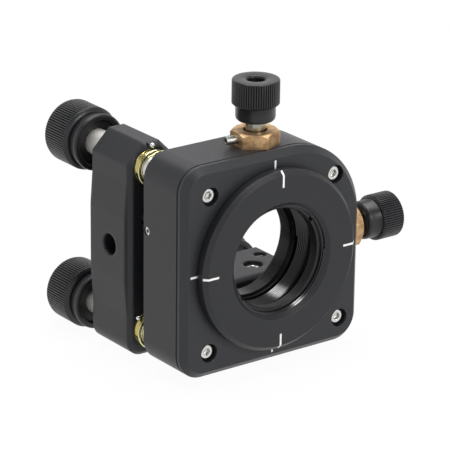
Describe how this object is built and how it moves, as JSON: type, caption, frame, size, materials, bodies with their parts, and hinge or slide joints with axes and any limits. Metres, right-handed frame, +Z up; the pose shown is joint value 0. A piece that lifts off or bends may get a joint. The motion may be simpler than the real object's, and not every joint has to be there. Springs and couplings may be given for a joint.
{
  "type": "kinematic mirror mount",
  "caption": "Adjustable mount for a round optic: two plates on ball-ended fine screws, with a cell that also slides up and sideways.",
  "frame": {"origin": "centre of the mouth of the post hole under the back plate, on the face of its foot", "axes": "+Z up out of the post, -Y towards the light that the front plate faces, +X to the right as seen from the front"},
  "size_m": [0.0683, 0.0572, 0.0683],
  "materials": {
    "anodised_black": "bead-blasted and black anodised, satin",
    "knob_black": "turned and black anodised, with a straight knurl",
    "bushing_brass": "turned, bright",
    "bronze_hex": "phosphor bronze, satin",
    "stainless": "turned stainless steel, satin",
    "hardened_steel": "ground and polished",
    "spring_steel": "drawn wire, plated",
    "gold_wire": "drawn wire, gold-coloured plating",
    "plain_aluminium": "machined, plain"
  },
  "bodies": {
    "back": {"back_plate": "anodised_black", "bushing_corner": "bushing_brass", "bushing_top": "bushing_brass", "bushing_side": "bushing_brass", "bushing_lock_top": "stainless", "bushing_lock_side": "stainless", "small_lock_top": "stainless", "small_lock_side": "stainless", "spring_pins": "stainless"},
    "corner_ball": {"adj_ball_corner": "hardened_steel"},
    "corner_knob": {"adj_screw_corner": "stainless", "adj_knob_corner": "knob_black"},
    "top_ball": {"adj_ball_top": "hardened_steel"},
    "top_knob": {"adj_screw_top": "stainless", "adj_knob_top": "knob_black"},
    "side_ball": {"adj_ball_side": "hardened_steel"},
    "side_knob": {"adj_screw_side": "stainless", "adj_knob_side": "knob_black"},
    "tilt_first": {"spring_top": "spring_steel", "hook_corner": "gold_wire"},
    "tilt_second": {"spring_side": "spring_steel", "hook_top": "gold_wire"},
    "front": {"front_housing": "anodised_black", "front_cover": "anodised_black", "cover_screws": "stainless", "cone_seat": "hardened_steel", "vee_seat": "hardened_steel", "flat_seat": "hardened_steel", "spring_anchors": "stainless", "lift_bushing": "bronze_hex", "lift_lock": "stainless", "shift_bushing": "bronze_hex", "shift_lock": "stainless", "lift_plunger_spring": "spring_steel", "shift_plunger_spring": "spring_steel"},
    "guide": {"guide_ring": "plain_aluminium"},
    "cell": {"cell_block": "anodised_black", "cell": "anodised_black", "retaining_ring": "anodised_black"},
    "lift_ball": {"lift_ball": "hardened_steel"},
    "lift_knob": {"lift_screw": "stainless", "lift_knob": "knob_black"},
    "lift_plunger": {"lift_plunger": "stainless"},
    "shift_ball": {"shift_ball": "hardened_steel"},
    "shift_knob": {"shift_screw": "stainless", "shift_knob": "knob_black"},
    "shift_plunger": {"shift_plunger": "stainless"}
  },
  "joints": [
    {"name": "corner_push", "type": "slide", "parent": "back", "child": "corner_ball", "axis": [0, -1, 0], "range_m": [-0.00195, 0.00195]},
    {"name": "corner_turn", "type": "hinge", "parent": "corner_ball", "child": "corner_knob", "pos_m": [-0.0199, -0.0111, 0.0065], "axis": [0, -1, 0], "range_deg": [-2200, 2200]},
    {"name": "top_push", "type": "slide", "parent": "back", "child": "top_ball", "axis": [0, -1, 0], "range_m": [-0.00275, 0.00275]},
    {"name": "top_turn", "type": "hinge", "parent": "top_ball", "child": "top_knob", "pos_m": [-0.0199, -0.0111, 0.0463], "axis": [0, -1, 0], "range_deg": [-3110, 3110]},
    {"name": "side_push", "type": "slide", "parent": "back", "child": "side_ball", "axis": [0, -1, 0], "range_m": [-0.00275, 0.00275]},
    {"name": "side_turn", "type": "hinge", "parent": "side_ball", "child": "side_knob", "pos_m": [0.0199, -0.0111, 0.0065], "axis": [0, -1, 0], "range_deg": [-3110, 3110]},
    {"name": "tilt_diagonal", "type": "hinge", "parent": "back", "child": "tilt_first", "pos_m": [0, -0.0111, 0.0264], "axis": [-0.7071, 0, 0.7071], "range_deg": [-4, 4], "deforming": ["spring_top", "hook_corner"]},
    {"name": "tilt_level", "type": "hinge", "parent": "tilt_first", "child": "tilt_second", "pos_m": [0, -0.0111, 0.0065], "axis": [1, 0, 0], "range_deg": [-4, 4], "deforming": ["spring_side", "hook_top"]},
    {"name": "tilt_upright", "type": "hinge", "parent": "tilt_second", "child": "front", "pos_m": [-0.0199, -0.0111, 0.0264], "axis": [0, 0, -1], "range_deg": [-4, 4]},
    {"name": "shift_slide", "type": "slide", "parent": "front", "child": "guide", "axis": [1, 0, 0], "range_m": [-0.001, 0.001]},
    {"name": "lift_slide", "type": "slide", "parent": "guide", "child": "cell", "axis": [0, 0, 1], "range_m": [-0.001, 0.001]},
    {"name": "lift_push", "type": "slide", "parent": "front", "child": "lift_ball", "axis": [0, 0, -1], "range_m": [-0.001, 0.001]},
    {"name": "lift_turn", "type": "hinge", "parent": "lift_ball", "child": "lift_knob", "pos_m": [0, -0.02065, 0.0484], "axis": [0, 0, -1], "range_deg": [-1420, 1420]},
    {"name": "lift_plunger_push", "type": "slide", "parent": "front", "child": "lift_plunger", "axis": [0, 0, 1], "range_m": [-0.001, 0.001], "deforming": ["lift_plunger_spring"]},
    {"name": "shift_push", "type": "slide", "parent": "front", "child": "shift_ball", "axis": [-1, 0, 0], "range_m": [-0.001, 0.001]},
    {"name": "shift_turn", "type": "hinge", "parent": "shift_ball", "child": "shift_knob", "pos_m": [0.022, -0.02065, 0.0264], "axis": [-1, 0, 0], "range_deg": [-1420, 1420]},
    {"name": "shift_plunger_push", "type": "slide", "parent": "front", "child": "shift_plunger", "axis": [1, 0, 0], "range_m": [-0.001, 0.001], "deforming": ["shift_plunger_spring"]}
  ],
  "couplings": [
    {"joint": "corner_push", "follows": "corner_turn", "m_per_rad": 0.000050532},
    {"joint": "top_push", "follows": "top_turn", "m_per_rad": 0.000050532},
    {"joint": "side_push", "follows": "side_turn", "m_per_rad": 0.000050532},
    {"joint": "tilt_diagonal", "follows": "corner_turn", "ratio": 0.0017955},
    {"joint": "tilt_level", "follows": "top_turn", "ratio": 0.0012696},
    {"joint": "tilt_upright", "follows": "side_turn", "ratio": 0.0012696},
    {"joint": "lift_turn", "follows": "lift_push", "rad_per_m": 24737},
    {"joint": "lift_plunger_push", "follows": "lift_push", "ratio": -1},
    {"joint": "lift_slide", "follows": "lift_push", "ratio": -1},
    {"joint": "shift_turn", "follows": "shift_push", "rad_per_m": 24737},
    {"joint": "shift_plunger_push", "follows": "shift_push", "ratio": -1},
    {"joint": "shift_slide", "follows": "shift_push", "ratio": -1}
  ]
}
